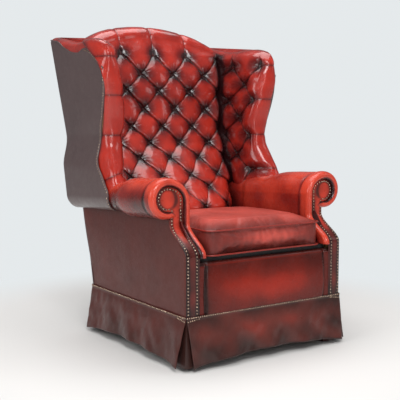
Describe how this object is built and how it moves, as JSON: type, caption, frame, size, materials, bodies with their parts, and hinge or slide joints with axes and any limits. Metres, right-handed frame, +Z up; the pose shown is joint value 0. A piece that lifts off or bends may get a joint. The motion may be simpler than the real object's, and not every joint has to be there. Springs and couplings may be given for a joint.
{
  "type": "tufted wing armchair",
  "caption": "High-backed tufted leather wing armchair with rolled arms, nailed arm facings, a loose seat cushion and a hung skirt.",
  "frame": {"origin": "on the floor, under the centre of the chair's box", "axes": "+Z up, the seat faces -Y, X = 0 is the chair's plane of symmetry, +X is the sitter's left hand"},
  "size_m": [0.798, 0.8846, 1.1592],
  "materials": {
    "leather": "glossy hand-antiqued oxblood leather, dark in the folds",
    "leather_outside": "plain dark brown-red leather, satin",
    "leather_cushion": "grained dull red leather, slightly worn",
    "welt": "bright red piping",
    "button": "covered buttons, glossy",
    "nail": "antique brass nail heads",
    "foot": "dark red-brown polish",
    "frame_wood": "raw beech",
    "webbing": "woven jute",
    "deck": "dark cloth over a sprung pad",
    "foam": "foam block in a cotton bag",
    "dust_cloth": "black nonwoven cloth",
    "glide": "nickelled steel"
  },
  "bodies": {
    "chair": {"front_rail": "frame_wood", "back_rail": "frame_wood", "side_rail_left": "frame_wood", "side_rail_right": "frame_wood", "corner_blocks": "frame_wood", "back_post_left": "frame_wood", "back_post_right": "frame_wood", "crest_rail": "frame_wood", "stay_rail": "frame_wood", "arm_post_left": "frame_wood", "arm_post_right": "frame_wood", "arm_board_left": "frame_wood", "arm_board_right": "frame_wood", "wing_frame_left": "frame_wood", "wing_frame_right": "frame_wood", "seat_webbing": "webbing", "seat_deck": "deck", "back_webbing": "webbing", "inside_back": "leather", "back_buttons": "button", "wing_pad_left": "leather", "wing_pad_right": "leather", "wing_buttons_left": "button", "wing_buttons_right": "button", "outside_wing_left": "leather_outside", "outside_wing_right": "leather_outside", "wing_welt_left": "welt", "wing_welt_right": "welt", "arm_pad_left": "leather", "arm_pad_right": "leather", "facing_left": "leather", "facing_right": "leather", "facing_border_left": "leather", "facing_border_right": "leather", "facing_nails_left": "nail", "facing_nails_right": "nail", "outside_arm_left": "leather_outside", "outside_arm_right": "leather_outside", "outside_back": "leather_outside", "front_border": "leather", "skirt_front": "leather", "skirt_back": "leather", "skirt_left": "leather", "skirt_right": "leather", "pleat_inserts": "leather_outside", "dust_cover": "dust_cloth", "foot_front_left": "foot", "foot_front_right": "foot", "foot_rear_left": "foot", "foot_rear_right": "foot", "glides": "glide"},
    "seat_cushion": {"cushion_cover": "leather_cushion", "cushion_core": "foam", "cushion_welts": "welt"}
  },
  "joints": [
    {"name": "cushion_lift", "type": "slide", "parent": "chair", "child": "seat_cushion", "axis": [0, 0, 1], "range_m": [0, 0.3]}
  ]
}
